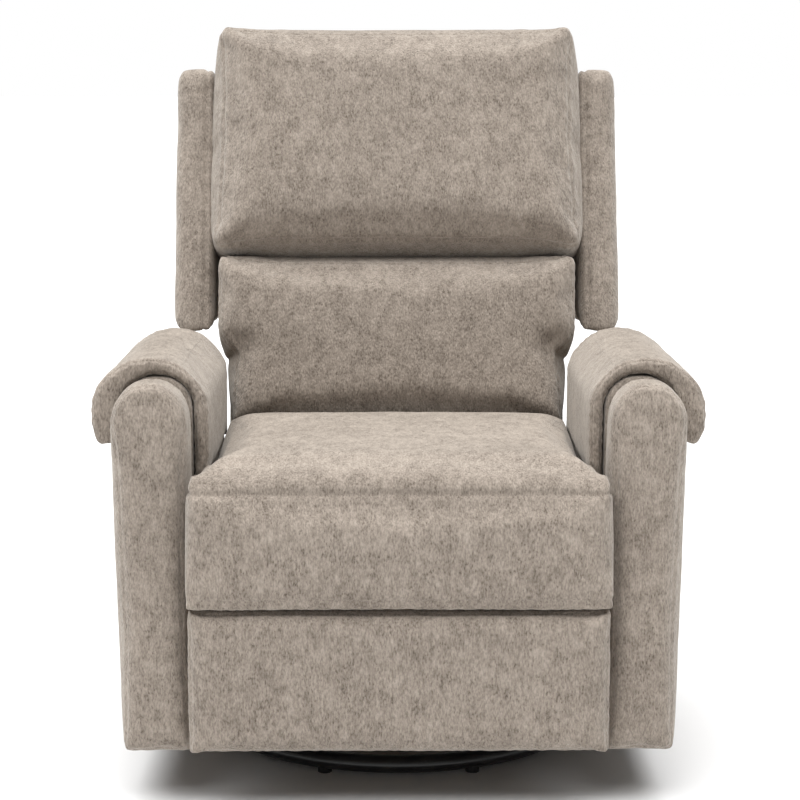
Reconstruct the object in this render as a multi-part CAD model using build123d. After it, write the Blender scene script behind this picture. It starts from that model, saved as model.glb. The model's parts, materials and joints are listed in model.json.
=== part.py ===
from build123d import *
import os
from math import atan2, cos, degrees, hypot, radians, sin

# Swivel glider recliner for a nursery. Millimetres, +Z up, the front faces -Y.
# The swivel axis is the Z axis and the floor is z = 0. "Left" is -X and "right" is +X.

# ---------------------------------------------------------------- driving dimensions
# Floor ring and swivel
RING_RADIUS = 292.0            # outermost radius of the floor ring
RING_TUBE = 25.4               # tube diameter of the ring
FOOT_HEIGHT = 5.0
FOOT_COUNT = 8
FOOT_DIAMETER = 20.0
SPIDER_HEIGHT = 15.0
SPIDER_WIDTH = 42.0
SWIVEL_PLATE_RADIUS = 105.0
PLATE = 5.0                    # thickness of the two swivel plates
BEARING_HEIGHT = 6.0
BEARING_GAP = 0.4              # free play between the bearing and the turning plate
KINGPIN_DIAMETER = 16.0
RUNNING_FIT = 0.05             # radial clearance of every pivot that turns

# Glide linkage, one set on each side
LINK_LENGTH = 110.0
LINK_SPREAD = 110.0            # each pivot stands this far in front of or behind the middle
LINK_TOP = 190.0               # height of the upper pivots
LINK_X = (212.0, 218.0)
STAND_X = (203.0, 207.0)
RAIL_X = (228.0, 232.0)
PIN_RADIUS = 6.0

# Seat unit
FRONT = -437.0                 # front of the seat and of the footrest
SEAT_BOTTOM = 285.0
SEAT_TOP = 477.0
SEAT_ROUND = 29.0              # the front top edge rounds over down to the seam
SEAT_BACK = 24.0
SEAT_HALF = (290.5, 281.0, 262.0)   # front lip, between the posts, between the arm pads
FRAME_Z = (240.0, 285.0)
FRAME_Y = (-372.0, 118.0)
WOOD = 25.0

# Arms
ARM_INNER = 283.0
ARM_OUTER = 384.0
ARM_TOP = 590.0
ARM_BOTTOM = 70.0
POST_Y = (-400.0, -325.0)
POST_OUTER = (383.0, 394.5)    # at the bottom and at the shoulder
POST_FILLET = 12.0
ARM_REAR = 250.0
PAD_CENTRE_X = 342.5
PAD_HALF = 79.5
PAD_WIDEST = 537.0
PAD_TOP = 613.0
PAD_INNER_END = 440.0
PAD_OUTER_END = 497.0
PAD_REAR = 52.0
ARM_REAR_TOP = 565.0           # the arm steps down behind its pad to clear the wing

# Footrest linkage: two links and the panel, opened from the drive tube
DRIVE_PIVOT = (-255.0, 205.0)
ARM_LINK = 150.0
ARM_FOLDED = 290.0             # direction of the first link when closed, degrees from +Y
PANEL_PIVOT = (-368.0, 215.0)
FOOTREST_Z = (81.5, 281.5)
FOOTREST_PAD_BACK = -404.0
FOOTREST_BOARD_BACK = -392.0
ARM_LINK_X = (240.0, 245.0)
FOOT_LINK_X = (247.0, 252.0)
BRACKET_X = (254.0, 259.0)

# Back, drawn upright about its pivot and then tilted
BACK_PIVOT = (165.0, 300.0)
BACK_TILT = 15.4
CUSHION_V = (-170.0, -34.0)    # front and rear of the cushions, measured from the pivot
BACK_FRAME_V = (-32.0, -4.0)
SHELL_V = (48.0, 86.2)
HEAD_U = (393.0, 757.0)
LUMBAR_U = (115.0, 389.0)
LUMBAR_STEP = 238.0            # above this the lumbar cushion is wider
WING_TOP = 720.0
WING_X = (292.0, 357.0)
WING_FRONT_V = (-122.0, -106.0)
WING_FLOOR = 592.0             # height of the wings' lower edge in the upright position
SHELL_LOWER_HALF = 278.0
SIDE_WALL_X = (247.0, 260.0)   # side walls that close the back between the frame and the shell
BACK_BRACKET_X = (234.0, 238.0)

# Release latch in the side of the left arm
LATCH_Y = -130.0
LATCH_Z = 350.0
LATCH_SIZE = (76.0, 116.0)
LATCH_DEPTH = 24.0
LATCH_PIVOT_Z = 388.0
LATCH_PIVOT_X = -374.0

SIDES = (("left", -1), ("right", 1))
NODES = {}


# ---------------------------------------------------------------- helpers
def block(x, y, z):
    """A box from its three (low, high) ranges."""
    size = [high - low for low, high in (x, y, z)]
    centre = [(high + low) / 2 for low, high in (x, y, z)]
    return Pos(*centre) * Box(*size)


def side_plate(outline, x):
    """A face drawn in (y, z), made solid between two x values."""
    low, high = sorted(x)
    return extrude(Plane.YZ.offset(low) * outline, amount=high - low)


def front_plate(outline, y):
    """A face drawn in (x, z), made solid between two y values."""
    return extrude(Plane.XZ.offset(-y[1]) * outline, amount=y[1] - y[0])


def rod(x, y, z, radius):
    """A cylinder along X between two x values."""
    low, high = sorted(x)
    return Pos((low + high) / 2, y, z) * Rot(Y=90) * Cylinder(radius, high - low)


def upright_rod(x, y, z, radius):
    """A cylinder along Z between two z values."""
    return Pos(x, y, (z[0] + z[1]) / 2) * Cylinder(radius, z[1] - z[0])


def mirrored(values, side):
    """An x range moved to the side given by -1 or +1."""
    return tuple(sorted(side * value for value in values))


def bar(start, end, half_width):
    """The outline of a flat link with round ends, from pivot to pivot."""
    turn = degrees(atan2(end[1] - start[1], end[0] - start[0]))
    length = hypot(end[0] - start[0], end[1] - start[1])
    middle = ((start[0] + end[0]) / 2, (start[1] + end[1]) / 2)
    return Pos(*middle) * Rot(Z=turn) * SlotCenterToCenter(length, 2 * half_width)


def link(start, end, half_width, x, hole):
    """A flat link between two pivots with a hole at each."""
    plate = side_plate(bar(start, end, half_width), x)
    for pivot in (start, end):
        plate -= rod((x[0] - 1, x[1] + 1), pivot[0], pivot[1], hole)
    return plate


def headed_pin(x, y, z, radius, head_radius, head, side):
    """A pin along X with a head at its outer or inner end, chosen by side."""
    low, high = sorted(x)
    shaft = rod((low, high), y, z, radius)
    if side > 0:
        return shaft + rod((high, high + head), y, z, head_radius)
    return shaft + rod((low - head, low), y, z, head_radius)


def hex_bolt(x, y, z_top, length, radius):
    """An upright bolt whose hexagon head stands on z_top."""
    head = extrude(Pos(x, y, z_top) * RegularPolygon(1.7 * radius, 6), amount=1.2 * radius)
    return head + upright_rod(x, y, (z_top - length, z_top), radius)


def leaned(shape):
    """A piece of the upright back, put at its pivot and tilted."""
    return Pos(0, *BACK_PIVOT) * Rot(X=-BACK_TILT) * shape


def sinuous(half_length, pitch, amplitude, wire, bends):
    """One zigzag spring wire along Y in the plane z = 0: straight runs joined by half circles."""
    turn = pitch / 2
    start = -bends * pitch / 2
    parts = []
    for i in range(bends + 1):
        y = start + i * pitch
        parts.append(Line((-amplitude, y), (amplitude, y)))
        if i < bends:
            side = 1 if i % 2 == 0 else -1
            parts.append(ThreePointArc((side * amplitude, y), (side * (amplitude + turn), y + turn),
                                       (side * amplitude, y + pitch)))
    lead = half_length + start
    parts[0] = Line((0, start), (amplitude, start))
    last = 1 if bends % 2 == 0 else -1
    end = start + bends * pitch
    parts[-1] = Line((-last * amplitude, end), (0, end))
    path = Wire([*parts])
    body = sweep(Plane(origin=(0, start, 0), z_dir=(1, 0, 0)) * Circle(wire), path=path)
    for y0, y1 in ((start - lead, start), (end, end + lead)):
        body += Pos(0, (y0 + y1) / 2, 0) * Rot(X=90) * Cylinder(wire, y1 - y0)
    return body


# ---------------------------------------------------------------- floor ring and swivel
def build_base():
    """The floor ring, its spider and feet, and the fixed half of the swivel."""
    tube = RING_TUBE / 2
    ring_mid = RING_RADIUS - tube
    tube_z = FOOT_HEIGHT + tube
    ring = Pos(0, 0, tube_z) * Torus(ring_mid, tube)
    NODES["base_ring"] = ring

    spider_z = (tube_z - SPIDER_HEIGHT / 2, tube_z + SPIDER_HEIGHT / 2)
    half = SPIDER_WIDTH / 2
    spider = upright_rod(0, 0, spider_z, SWIVEL_PLATE_RADIUS)
    for turn in (45, 135):
        arm = block((-ring_mid, ring_mid), (-half, half), spider_z)
        spider += Rot(Z=turn) * arm
    spider -= ring
    spider -= upright_rod(0, 0, (0, 60), KINGPIN_DIAMETER / 2)

    feet = []
    for i in range(FOOT_COUNT):
        angle = radians((i + 0.5) * 360 / FOOT_COUNT)
        foot = upright_rod(ring_mid * cos(angle), ring_mid * sin(angle), (0, tube_z), FOOT_DIAMETER / 2)
        feet.append(foot - ring)
    NODES["base_feet"] = Compound(children=feet)

    lower = spider_z[1]
    bolt_circle = 0.78 * SWIVEL_PLATE_RADIUS
    race = upright_rod(0, 0, (lower, lower + PLATE), SWIVEL_PLATE_RADIUS)
    race -= upright_rod(0, 0, (lower - 1, lower + PLATE + 1), KINGPIN_DIAMETER / 2)
    bolts = []
    for i in range(4):
        angle = radians(i * 90)
        x, y = bolt_circle * cos(angle), bolt_circle * sin(angle)
        hole = upright_rod(x, y, (lower - SPIDER_HEIGHT - 1, lower + PLATE + 1), 4)
        race -= hole
        spider -= hole
        bolts.append(hex_bolt(x, y, lower + PLATE, PLATE + 10, 4))
    NODES["base_spider"] = spider
    NODES["swivel_lower_plate"] = race
    NODES["swivel_plate_bolts"] = Compound(children=bolts)

    top = lower + PLATE + BEARING_HEIGHT
    bearing = upright_rod(0, 0, (lower + PLATE, top), 58) - upright_rod(0, 0, (lower, top + 1), 40)
    NODES["swivel_bearing"] = bearing

    plate_top = top + BEARING_GAP + PLATE
    radius = KINGPIN_DIAMETER / 2
    pin = upright_rod(0, 0, (spider_z[0] - 4, plate_top + 16), radius)
    pin += upright_rod(0, 0, (spider_z[0] - 4, spider_z[0]), 1.7 * radius)
    NODES["kingpin"] = pin
    nut = extrude(Pos(0, 0, plate_top + 2.4) * RegularPolygon(1.6 * radius, 6), amount=10)
    nut -= upright_rod(0, 0, (0, 120), radius)
    washer = upright_rod(0, 0, (plate_top + BEARING_GAP, plate_top + 2.4), 1.9 * radius)
    washer -= upright_rod(0, 0, (0, 120), radius)
    NODES["kingpin_nut"] = nut
    NODES["kingpin_washer"] = washer
    return top + BEARING_GAP


def build_swivel(plate_bottom):
    """The turning plate and the stands from which the links hang."""
    plate_top = plate_bottom + PLATE
    plate = upright_rod(0, 0, (plate_bottom, plate_top), SWIVEL_PLATE_RADIUS)
    plate -= upright_rod(0, 0, (0, 120), KINGPIN_DIAMETER / 2 + RUNNING_FIT)
    beam_z = (plate_top, plate_top + 20)
    beams = []
    bolts = []
    for y in (-72, 72):
        beam = block((-STAND_X[0], STAND_X[0]), (y - 16, y + 16), beam_z)
        for x in (-45, 45):
            hole = upright_rod(x, y, (plate_bottom - 1, beam_z[1] + 1), 4)
            beam -= hole
            plate -= hole
            bolts.append(hex_bolt(x, y, beam_z[1], 20 + PLATE, 4))
        beams.append(beam)
    NODES["swivel_upper_plate"] = plate

    lower_z = LINK_TOP - LINK_LENGTH
    pins = []
    for name, side in SIDES:
        x = mirrored(STAND_X, side)
        outline = Pos(0, beam_z[1] - 8) * Rectangle(300, 36)
        for y in (-LINK_SPREAD, LINK_SPREAD):
            outline += bar((y, beam_z[1] - 10), (y, LINK_TOP), 17)
        stand = side_plate(outline, x)
        flange = mirrored((STAND_X[0] - 34, STAND_X[0]), side)
        stand += block(flange, (-150, 150), (beam_z[1], beam_z[1] + 4))
        for y in (-72, 72):
            hole = upright_rod(side * (STAND_X[0] - 18), y, (beam_z[0] - 1, beam_z[1] + 5), 4)
            stand -= hole
            beams = [beam - hole for beam in beams]
            bolts.append(hex_bolt(side * (STAND_X[0] - 18), y, beam_z[1] + 4, 22, 4))
        for y in (-LINK_SPREAD, LINK_SPREAD):
            stand -= rod(mirrored((STAND_X[0] - 1, STAND_X[1] + 1), side), y, LINK_TOP, PIN_RADIUS)
            shaft = mirrored((STAND_X[0] - 3, LINK_X[1] + 2), side)
            pins.append(headed_pin(shaft, y, LINK_TOP, PIN_RADIUS, 9.5, 3, side))
        NODES[f"glide_stand_{name}"] = stand
    NODES["swivel_beams"] = Compound(children=beams)
    NODES["swivel_beam_bolts"] = Compound(children=bolts)
    NODES["upper_link_pins"] = Compound(children=pins)
    return lower_z


def build_glide_links(lower_z):
    """Four hanging links, two in front and two behind."""
    for place, y in (("front", -LINK_SPREAD), ("rear", LINK_SPREAD)):
        for name, side in SIDES:
            x = mirrored(LINK_X, side)
            NODES[f"glide_link_{place}_{name}"] = link(
                (y, LINK_TOP), (y, lower_z), 14, x, PIN_RADIUS + RUNNING_FIT)


# ---------------------------------------------------------------- seat unit
def build_chassis(lower_z):
    """The steel side rails, cross tubes and pivots that hang from the links."""
    tube_y = (-200, 195)
    tube_z = 150
    pins = []
    back_pins = []
    for name, side in SIDES:
        x = mirrored(RAIL_X, side)
        outline = Pos(-72, 220) * Rectangle(380, 40)
        outline += Pos(-2, 165) * Rectangle(430, 70)
        for y in (-LINK_SPREAD, LINK_SPREAD):
            outline += bar((y, lower_z), (y, 180), 20)
        outline += bar(DRIVE_PIVOT, (-200, 205), 24)
        outline += make_hull((Pos(105, 222) * Rectangle(80, 34)).edges()
                             + (Pos(*BACK_PIVOT) * Circle(20)).edges())
        rail = side_plate(outline, x)
        wide = mirrored((RAIL_X[0] - 1, RAIL_X[1] + 1), side)
        rail -= rod(wide, *DRIVE_PIVOT, 11 + RUNNING_FIT)
        rail -= rod(wide, *BACK_PIVOT, PIN_RADIUS)
        for y in tube_y:
            rail -= rod(wide, y, tube_z, 11)
        for y in (-LINK_SPREAD, LINK_SPREAD):
            rail -= rod(wide, y, lower_z, PIN_RADIUS)
            shaft = mirrored((LINK_X[0] - 2, RAIL_X[1]), side)
            pins.append(headed_pin(shaft, y, lower_z, PIN_RADIUS, 9.5, 3, side))
        NODES[f"chassis_rail_{name}"] = rail
        shaft = mirrored((RAIL_X[0], BACK_BRACKET_X[1] + 1), side)
        back_pins.append(headed_pin(shaft, *BACK_PIVOT, PIN_RADIUS, 9.5, 3, -side))
    NODES["lower_link_pins"] = Compound(children=pins)
    NODES["back_pivot_pins"] = Compound(children=back_pins)
    for place, y in zip(("front", "rear"), tube_y):
        NODES[f"chassis_tube_{place}"] = rod((-RAIL_X[1], RAIL_X[1]), y, tube_z, 11)


def build_seat():
    """The wooden seat frame, its springs and the seat cushion."""
    inner_x = RAIL_X[0] - 4
    inner_y = (FRAME_Y[0] + WOOD, FRAME_Y[1] - WOOD)
    boards = [block((-inner_x, inner_x), (FRAME_Y[0], inner_y[0]), FRAME_Z),
              block((-inner_x, inner_x), (inner_y[1], FRAME_Y[1]), FRAME_Z)]
    for name, side in SIDES:
        board = block(mirrored((inner_x, ARM_INNER), side), FRAME_Y, FRAME_Z)
        boards.append(board - NODES[f"chassis_rail_{name}"])
    spring_z = FRAME_Z[1] - 10
    inner_length = FRAME_Y[1] - FRAME_Y[0] - 2 * WOOD
    middle_y = (FRAME_Y[0] + FRAME_Y[1]) / 2
    spring = sinuous(inner_length / 2, 26, 20, 1.8, 15)
    springs = [Pos(x, middle_y, spring_z) * spring for x in (-180, -90, 0, 90, 180)]
    NODES["seat_frame"] = Compound(children=boards)
    NODES["seat_springs"] = Compound(children=springs)

    front_half, post_half, rear_half = SEAT_HALF
    lip_back = POST_Y[0] - 2
    pad_front = POST_Y[1] - 1
    height = (SEAT_BOTTOM, SEAT_TOP)
    seat = block((-front_half, front_half), (FRONT, lip_back), height)
    seat += block((-post_half, post_half), (lip_back, pad_front), height)
    seat += block((-rear_half, rear_half), (pad_front, SEAT_BACK), height)
    top_edges = seat.faces().sort_by(Axis.Z)[-1].edges()
    seat = fillet(top_edges.sort_by(Axis.Y)[0], SEAT_ROUND)
    seat += block((-rear_half, rear_half), (SEAT_BACK, FRAME_Y[1]), (SEAT_BOTTOM, 400))
    NODES["seat_cushion"] = seat


def arm_outline(outer_low, outer_high, top):
    """The upright section of an arm in (x, z) with a round top, for the right side."""
    radius = (outer_high - ARM_INNER) / 2
    shoulder = top - radius
    centre = ARM_INNER + radius
    lines = [
        Line((ARM_INNER, shoulder), (ARM_INNER, ARM_BOTTOM)),
        Line((ARM_INNER, ARM_BOTTOM), (outer_low, ARM_BOTTOM)),
        Line((outer_low, ARM_BOTTOM), (outer_high, shoulder)),
        ThreePointArc((outer_high, shoulder), (centre, top), (ARM_INNER, shoulder)),
    ]
    return make_face(lines)


def build_arms():
    """Side panels, front posts, arm pads, the rear apron and the latch bezel."""
    panel_face = arm_outline(ARM_OUTER, ARM_OUTER, ARM_TOP)
    rear_face = arm_outline(ARM_OUTER, ARM_OUTER, ARM_REAR_TOP)
    post_face = arm_outline(*POST_OUTER, ARM_TOP)
    sleeve = Pos(PAD_CENTRE_X, PAD_WIDEST) * Ellipse(PAD_HALF, PAD_TOP - PAD_WIDEST)
    inner_x = PAD_CENTRE_X - PAD_HALF
    keep = Pos(PAD_CENTRE_X, (PAD_TOP + PAD_OUTER_END) / 2) * Rectangle(
        2 * PAD_HALF, PAD_TOP - PAD_OUTER_END)
    sleeve = sleeve & keep
    inner_leg = (PAD_INNER_END + PAD_WIDEST) / 2
    sleeve += Pos((inner_x + ARM_INNER) / 2, inner_leg) * Rectangle(
        ARM_INNER - inner_x, PAD_WIDEST - PAD_INNER_END)
    sleeve -= panel_face

    panel = front_plate(panel_face, (POST_Y[1], PAD_REAR))
    panel += front_plate(rear_face, (PAD_REAR, ARM_REAR))
    post = front_plate(post_face, POST_Y)
    post = fillet(post.faces().sort_by(Axis.Y)[0].edges(), POST_FILLET)
    pad = front_plate(sleeve, (POST_Y[1], PAD_REAR))

    half_y, half_z = LATCH_SIZE[0] / 2, LATCH_SIZE[1] / 2
    pocket = block((-ARM_OUTER - 5, -ARM_OUTER + LATCH_DEPTH), (LATCH_Y - half_y, LATCH_Y + half_y),
                   (LATCH_Z - half_z, LATCH_Z + half_z))
    for name, side in SIDES:
        for node, shape in (("arm_panel", panel), ("arm_post", post), ("arm_pad", pad)):
            placed = shape if side > 0 else mirror(shape, about=Plane.YZ)
            if node == "arm_panel" and side < 0:
                placed -= pocket
            NODES[f"{node}_{name}"] = placed
    NODES["rear_apron"] = block((-ARM_INNER, ARM_INNER), (ARM_REAR - 12, ARM_REAR), (75, 240))


def build_latch():
    """The release latch: a bezel let into the left arm, its pin and the hinged paddle."""
    half_y, half_z = LATCH_SIZE[0] / 2, LATCH_SIZE[1] / 2
    y = (LATCH_Y - half_y, LATCH_Y + half_y)
    z = (LATCH_Z - half_z, LATCH_Z + half_z)
    bezel = block((-ARM_OUTER, -ARM_OUTER + LATCH_DEPTH), y, z)
    bezel += block((-ARM_OUTER - 3, -ARM_OUTER), (y[0] - 8, y[1] + 8), (z[0] - 8, z[1] + 8))
    wall = 4
    bezel -= block((-ARM_OUTER - 5, -ARM_OUTER + LATCH_DEPTH - wall), (y[0] + wall, y[1] - wall),
                   (z[0] + wall, z[1] - wall))
    pin_y = (y[0] + 1, y[1] - 1)
    pin = Pos(LATCH_PIVOT_X, LATCH_Y, LATCH_PIVOT_Z) * Rot(X=90) * Cylinder(2.5, pin_y[1] - pin_y[0])
    bezel -= pin
    paddle_y = (y[0] + wall + 3, y[1] - wall - 3)
    paddle = block((LATCH_PIVOT_X - 6, LATCH_PIVOT_X - 1), paddle_y, (LATCH_Z - 34, LATCH_PIVOT_Z))
    paddle += Pos(LATCH_PIVOT_X, LATCH_Y, LATCH_PIVOT_Z) * Rot(X=90) * Cylinder(
        6, paddle_y[1] - paddle_y[0])
    paddle -= Pos(LATCH_PIVOT_X, LATCH_Y, LATCH_PIVOT_Z) * Rot(X=90) * Cylinder(
        2.5 + RUNNING_FIT, 2 * LATCH_SIZE[0])
    NODES["latch_bezel"] = bezel
    NODES["latch_pin"] = pin
    NODES["latch_paddle"] = paddle


# ---------------------------------------------------------------- footrest
def build_footrest():
    """The drive tube, two pairs of links and the hinged footrest panel."""
    knee = (DRIVE_PIVOT[0] + ARM_LINK * cos(radians(ARM_FOLDED)),
            DRIVE_PIVOT[1] + ARM_LINK * sin(radians(ARM_FOLDED)))
    reach = ARM_LINK_X[1]
    NODES["footrest_drive_tube"] = rod((-reach, reach), *DRIVE_PIVOT, 11)
    knee_pins = []
    panel_pins = []
    screws = []
    half = 12
    for name, side in SIDES:
        x = mirrored(ARM_LINK_X, side)
        arm = side_plate(bar(DRIVE_PIVOT, knee, half) + Pos(*DRIVE_PIVOT) * Circle(19), x)
        arm -= rod((x[0] - 1, x[1] + 1), *DRIVE_PIVOT, 11)
        arm -= rod((x[0] - 1, x[1] + 1), *knee, 5)
        NODES[f"footrest_arm_{name}"] = arm
        shaft = mirrored((ARM_LINK_X[0] - 1, FOOT_LINK_X[1] + 1), side)
        knee_pins.append(headed_pin(shaft, *knee, 5, 8, 2.5, side))

        x = mirrored(FOOT_LINK_X, side)
        NODES[f"footrest_link_{name}"] = link(knee, PANEL_PIVOT, half, x, 5 + RUNNING_FIT)

        x = mirrored(BRACKET_X, side)
        outline = Pos(*PANEL_PIVOT) * Circle(half)
        foot = Pos(FOOTREST_BOARD_BACK + 2, PANEL_PIVOT[1] - 10) * Rectangle(4, 60)
        outline = make_hull(outline.edges() + foot.edges())
        bracket = side_plate(outline, x)
        tab_x = mirrored((BRACKET_X[1] - 26, BRACKET_X[1]), side)
        tab_z = (PANEL_PIVOT[1] - 40, PANEL_PIVOT[1] + 20)
        bracket += block(tab_x, (FOOTREST_BOARD_BACK, FOOTREST_BOARD_BACK + 4), tab_z)
        bracket -= rod((x[0] - 1, x[1] + 1), *PANEL_PIVOT, 5)
        for z in (tab_z[0] + 10, tab_z[1] - 10):
            centre = (side * (BRACKET_X[0] - 14), FOOTREST_BOARD_BACK + 2, z)
            bracket -= Pos(*centre) * Rot(X=90) * Cylinder(2.5, 6)
            shank = Pos(centre[0], FOOTREST_BOARD_BACK - 2, z) * Rot(X=90) * Cylinder(2.5, 12)
            head = Pos(centre[0], FOOTREST_BOARD_BACK + 5.5, z) * Rot(X=90) * Cylinder(5, 3)
            screws.append(shank + head)
        NODES[f"footrest_bracket_{name}"] = bracket
        shaft = mirrored((FOOT_LINK_X[0] - 1, BRACKET_X[1] + 1), side)
        panel_pins.append(headed_pin(shaft, *PANEL_PIVOT, 5, 8, 2.5, side))
    NODES["footrest_knee_pins"] = Compound(children=knee_pins)
    NODES["footrest_panel_pins"] = Compound(children=panel_pins)

    board = block((-275, 275), (FOOTREST_PAD_BACK, FOOTREST_BOARD_BACK),
                  (FOOTREST_Z[0] + 9, FOOTREST_Z[1] - 9))
    for screw in screws:
        board -= screw
    NODES["footrest_board"] = board
    NODES["footrest_screws"] = Compound(children=screws)
    pad = block((-SEAT_HALF[0], SEAT_HALF[0]), (FRONT, FOOTREST_PAD_BACK), FOOTREST_Z)
    pad = fillet(pad.faces().sort_by(Axis.Y)[0].edges(), 12)
    NODES["footrest_pad"] = pad


# ---------------------------------------------------------------- back
def build_back():
    """The reclining back: brackets, frame, springs, shell, wings and two cushions."""
    frame_half = 255.0
    rail = 17.0
    inner = frame_half - rail
    frame = [block((-inner, inner), BACK_FRAME_V, u) for u in ((28, 80), (360, 400), (645, 705))]
    for _, side in SIDES:
        frame.append(block(mirrored((inner, frame_half), side), BACK_FRAME_V, (28, 705)))
    for name, side in SIDES:
        x = mirrored(BACK_BRACKET_X, side)
        outline = make_hull((Circle(20)).edges() + (Pos(-18, 190) * Rectangle(26, 60)).edges())
        bracket = side_plate(outline, x)
        bracket -= rod((x[0] - 1, x[1] + 1), 0, 0, PIN_RADIUS + RUNNING_FIT)
        NODES[f"back_bracket_{name}"] = leaned(bracket)
        frame[0] -= bracket
    NODES["back_frame"] = leaned(Compound(children=frame))

    middle_v = (BACK_FRAME_V[0] + BACK_FRAME_V[1]) / 2
    springs = []
    for reach, heights in ((BACK_BRACKET_X[0], (130, 200)), (inner, (265, 325, 440, 520, 600))):
        spring = Rot(X=90) * Rot(Z=90) * sinuous(reach, 26, 16, 1.8, 15)
        springs += [Pos(0, middle_v, u) * spring for u in heights]
    NODES["back_springs"] = leaned(Compound(children=springs))

    lower_edge = [(WING_FLOOR - BACK_PIVOT[1] + v * sin(radians(BACK_TILT))) / cos(radians(BACK_TILT))
                  for v in (WING_FRONT_V[0], SHELL_V[0], SHELL_V[1])]
    shell = block((-WING_X[1], WING_X[1]), SHELL_V, (lower_edge[2], WING_TOP))
    shell = fillet(shell.edges().filter_by(Axis.Y).group_by(Axis.Z)[-1], 30)
    shell = fillet(shell.faces().sort_by(Axis.Y)[-1].edges(), 10)
    shell += block((-SHELL_LOWER_HALF, SHELL_LOWER_HALF), SHELL_V, (-20, lower_edge[2] + 40))
    shell += block((-WING_X[0], WING_X[0]), (0, SHELL_V[0] + 1), (WING_TOP - 13, WING_TOP - 1))
    for _, side in SIDES:
        wall = mirrored((SIDE_WALL_X[0], SIDE_WALL_X[1]), side)
        shell += block(wall, (0, SHELL_V[0] + 1), (20, WING_TOP - 13))
    NODES["back_shell"] = leaned(shell)

    for name, side in SIDES:
        outline = make_face(Polyline(
            (WING_FRONT_V[0], lower_edge[0]), (SHELL_V[0], lower_edge[1]), (SHELL_V[0], WING_TOP),
            (WING_FRONT_V[1], WING_TOP), close=True))
        wing = side_plate(outline, mirrored(WING_X, side))
        front_top = wing.edges().filter_by(Axis.X).group_by(Axis.Z)[-1].sort_by(Axis.Y)[0]
        wing = fillet(front_top, 24)
        outside = wing.faces().filter_by(Axis.X).sort_by(Axis.X)[-1 if side > 0 else 0]
        wing = fillet(outside.edges().sort_by(Axis.Y)[:-1], 14)
        NODES[f"back_wing_{name}"] = leaned(wing)

    head = block((-288, 288), CUSHION_V, HEAD_U)
    NODES["head_cushion"] = leaned(fillet(head.edges(), 18))
    lumbar = block((-281, 281), CUSHION_V, (LUMBAR_STEP, LUMBAR_U[1]))
    lumbar = fillet(lumbar.edges(), 14)
    lower = block((-262, 262), CUSHION_V, (LUMBAR_U[0], LUMBAR_STEP + 40))
    lower = fillet(lower.faces().sort_by(Axis.Z)[0].edges(), 14)
    NODES["lumbar_cushion"] = leaned(lumbar + lower)


def main():
    """Build every node and write it to its own file."""
    os.makedirs("parts", exist_ok=True)
    plate_bottom = build_base()
    lower_z = build_swivel(plate_bottom)
    build_glide_links(lower_z)
    build_chassis(lower_z)
    build_seat()
    build_arms()
    build_latch()
    build_footrest()
    build_back()
    for name, shape in NODES.items():
        export_step(shape, f"parts/{name}.step")


if __name__ == "__main__":
    main()
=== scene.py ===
import json
import logging
import math
from dataclasses import dataclass, field
from enum import Enum
from typing import Callable, Sequence

import bpy
import numpy as np
from mathutils import Matrix, Vector, noise


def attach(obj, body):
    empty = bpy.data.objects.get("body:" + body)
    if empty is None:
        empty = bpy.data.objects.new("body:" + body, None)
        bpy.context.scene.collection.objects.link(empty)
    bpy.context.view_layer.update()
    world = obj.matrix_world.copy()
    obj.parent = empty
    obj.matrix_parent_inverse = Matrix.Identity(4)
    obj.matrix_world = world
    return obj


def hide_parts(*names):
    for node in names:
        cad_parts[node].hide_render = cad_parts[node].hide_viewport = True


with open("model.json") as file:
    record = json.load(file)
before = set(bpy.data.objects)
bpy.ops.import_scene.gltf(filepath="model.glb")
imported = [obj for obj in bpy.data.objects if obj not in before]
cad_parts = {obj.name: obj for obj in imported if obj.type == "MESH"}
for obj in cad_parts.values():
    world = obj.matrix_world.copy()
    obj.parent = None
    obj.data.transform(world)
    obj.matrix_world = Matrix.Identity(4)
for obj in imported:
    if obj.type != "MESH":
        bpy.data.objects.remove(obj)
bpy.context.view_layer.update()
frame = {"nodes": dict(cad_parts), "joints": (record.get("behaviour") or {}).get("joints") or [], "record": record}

LOG = logging.getLogger("glider_chair")
MM = 0.001
BACK_LEAN = math.radians(15.4)


class Side(Enum):
    """The two sides of the chair, by the sign of X."""

    LEFT = -1
    RIGHT = 1

    @property
    def word(self) -> str:
        """The side's name as it stands in the names of nodes."""
        return self.name.lower()


class Axis(Enum):
    """The three axes of a piece's own upright frame."""

    X = 0
    Y = 1
    Z = 2


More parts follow.
